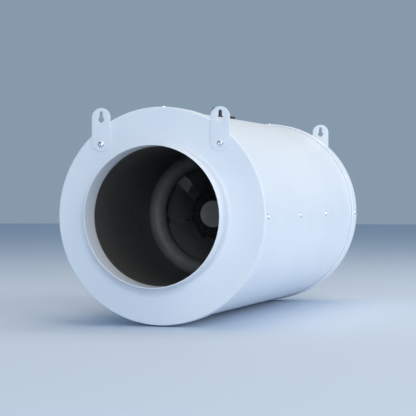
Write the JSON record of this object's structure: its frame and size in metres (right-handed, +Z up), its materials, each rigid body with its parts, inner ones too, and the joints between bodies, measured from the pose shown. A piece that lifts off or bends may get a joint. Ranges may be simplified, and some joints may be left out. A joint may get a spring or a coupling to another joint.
{
  "type": "inline duct fan",
  "caption": "Silenced in-line duct fan: round sheet casing with flanged end caps, duct collars, swivelling keyhole brackets and a mixed-flow impeller behind a bell mouth.",
  "frame": {"origin": "centre of the inlet collar's free rim, on the duct axis", "axes": "+Y along the air path to the outlet, +Z up towards the brackets and the cable gland, +X to the right looking into the inlet"},
  "size_m": [0.312, 0.668, 0.324],
  "materials": {
    "white_paint": "satin white powder coat",
    "zinc_screw": "bright zinc plate",
    "steel_zinc": "galvanised",
    "black_facing": "matt black fleece",
    "acoustic_foam": "dark open-cell foam",
    "fan_plastic": "satin moulded black",
    "nose_grey": "satin grey",
    "gland_plastic": "satin moulded black",
    "rubber_black": "matt",
    "motor_steel": "machined",
    "motor_alloy": "die cast",
    "magnet_dark": "sintered",
    "lamination_steel": "stacked sheet",
    "copper_wire": "enamelled copper",
    "board_green": "solder mask"
  },
  "bodies": {
    "casing": {"bearings": "motor_steel", "bell_mouth": "fan_plastic", "bell_mouth_screws": "zinc_screw", "bracket_screws": "zinc_screw", "cap_screws_front": "zinc_screw", "cap_screws_rear": "zinc_screw", "control_socket": "gland_plastic", "driver_board": "board_green", "fan_bracket_left": "steel_zinc", "fan_bracket_right": "steel_zinc", "fan_foam": "acoustic_foam", "fan_housing": "fan_plastic", "fan_screws": "zinc_screw", "front_end_cap": "white_paint", "gland_body": "gland_plastic", "gland_lock_nut": "gland_plastic", "gland_nut": "gland_plastic", "gland_seal": "rubber_black", "gland_washer": "rubber_black", "inlet_collar": "white_paint", "inlet_facing": "black_facing", "inlet_foam": "acoustic_foam", "isolator_bolts": "zinc_screw", "isolators": "rubber_black", "motor_cover": "fan_plastic", "motor_flange": "motor_alloy", "motor_screws": "zinc_screw", "outer_casing": "white_paint", "outlet_collar": "white_paint", "outlet_facing": "black_facing", "outlet_foam": "acoustic_foam", "rear_end_cap": "white_paint", "rivet_nuts": "steel_zinc", "socket_nut": "gland_plastic", "stator_core": "lamination_steel", "stator_windings": "copper_wire", "vane_carrier": "fan_plastic", "weld_nuts": "steel_zinc"},
    "rotor": {"impeller": "fan_plastic", "nose_cap": "nose_grey", "rotor_can": "motor_steel", "magnet_ring": "magnet_dark", "motor_shaft": "motor_steel", "retaining_clip": "motor_steel"},
    "front_left_bracket": {"bracket_front_left": "white_paint"},
    "front_right_bracket": {"bracket_front_right": "white_paint"},
    "rear_left_bracket": {"bracket_rear_left": "white_paint"},
    "rear_right_bracket": {"bracket_rear_right": "white_paint"}
  },
  "joints": [
    {"name": "impeller_spin", "type": "hinge", "parent": "casing", "child": "rotor", "pos_m": [0, 0.32, 0], "axis": [0, 1, 0], "continuous": true},
    {"name": "front_left_swivel", "type": "hinge", "parent": "casing", "child": "front_left_bracket", "pos_m": [-0.0886, 0.0369, 0.10133], "axis": [0, 1, 0], "range_deg": [-155, 80]},
    {"name": "front_right_swivel", "type": "hinge", "parent": "casing", "child": "front_right_bracket", "pos_m": [0.0886, 0.0369, 0.10133], "axis": [0, 1, 0], "range_deg": [-80, 155]},
    {"name": "rear_left_swivel", "type": "hinge", "parent": "casing", "child": "rear_left_bracket", "pos_m": [-0.0886, 0.6311, 0.10133], "axis": [0, 1, 0], "range_deg": [-155, 80]},
    {"name": "rear_right_swivel", "type": "hinge", "parent": "casing", "child": "rear_right_bracket", "pos_m": [0.0886, 0.6311, 0.10133], "axis": [0, 1, 0], "range_deg": [-80, 155]}
  ]
}
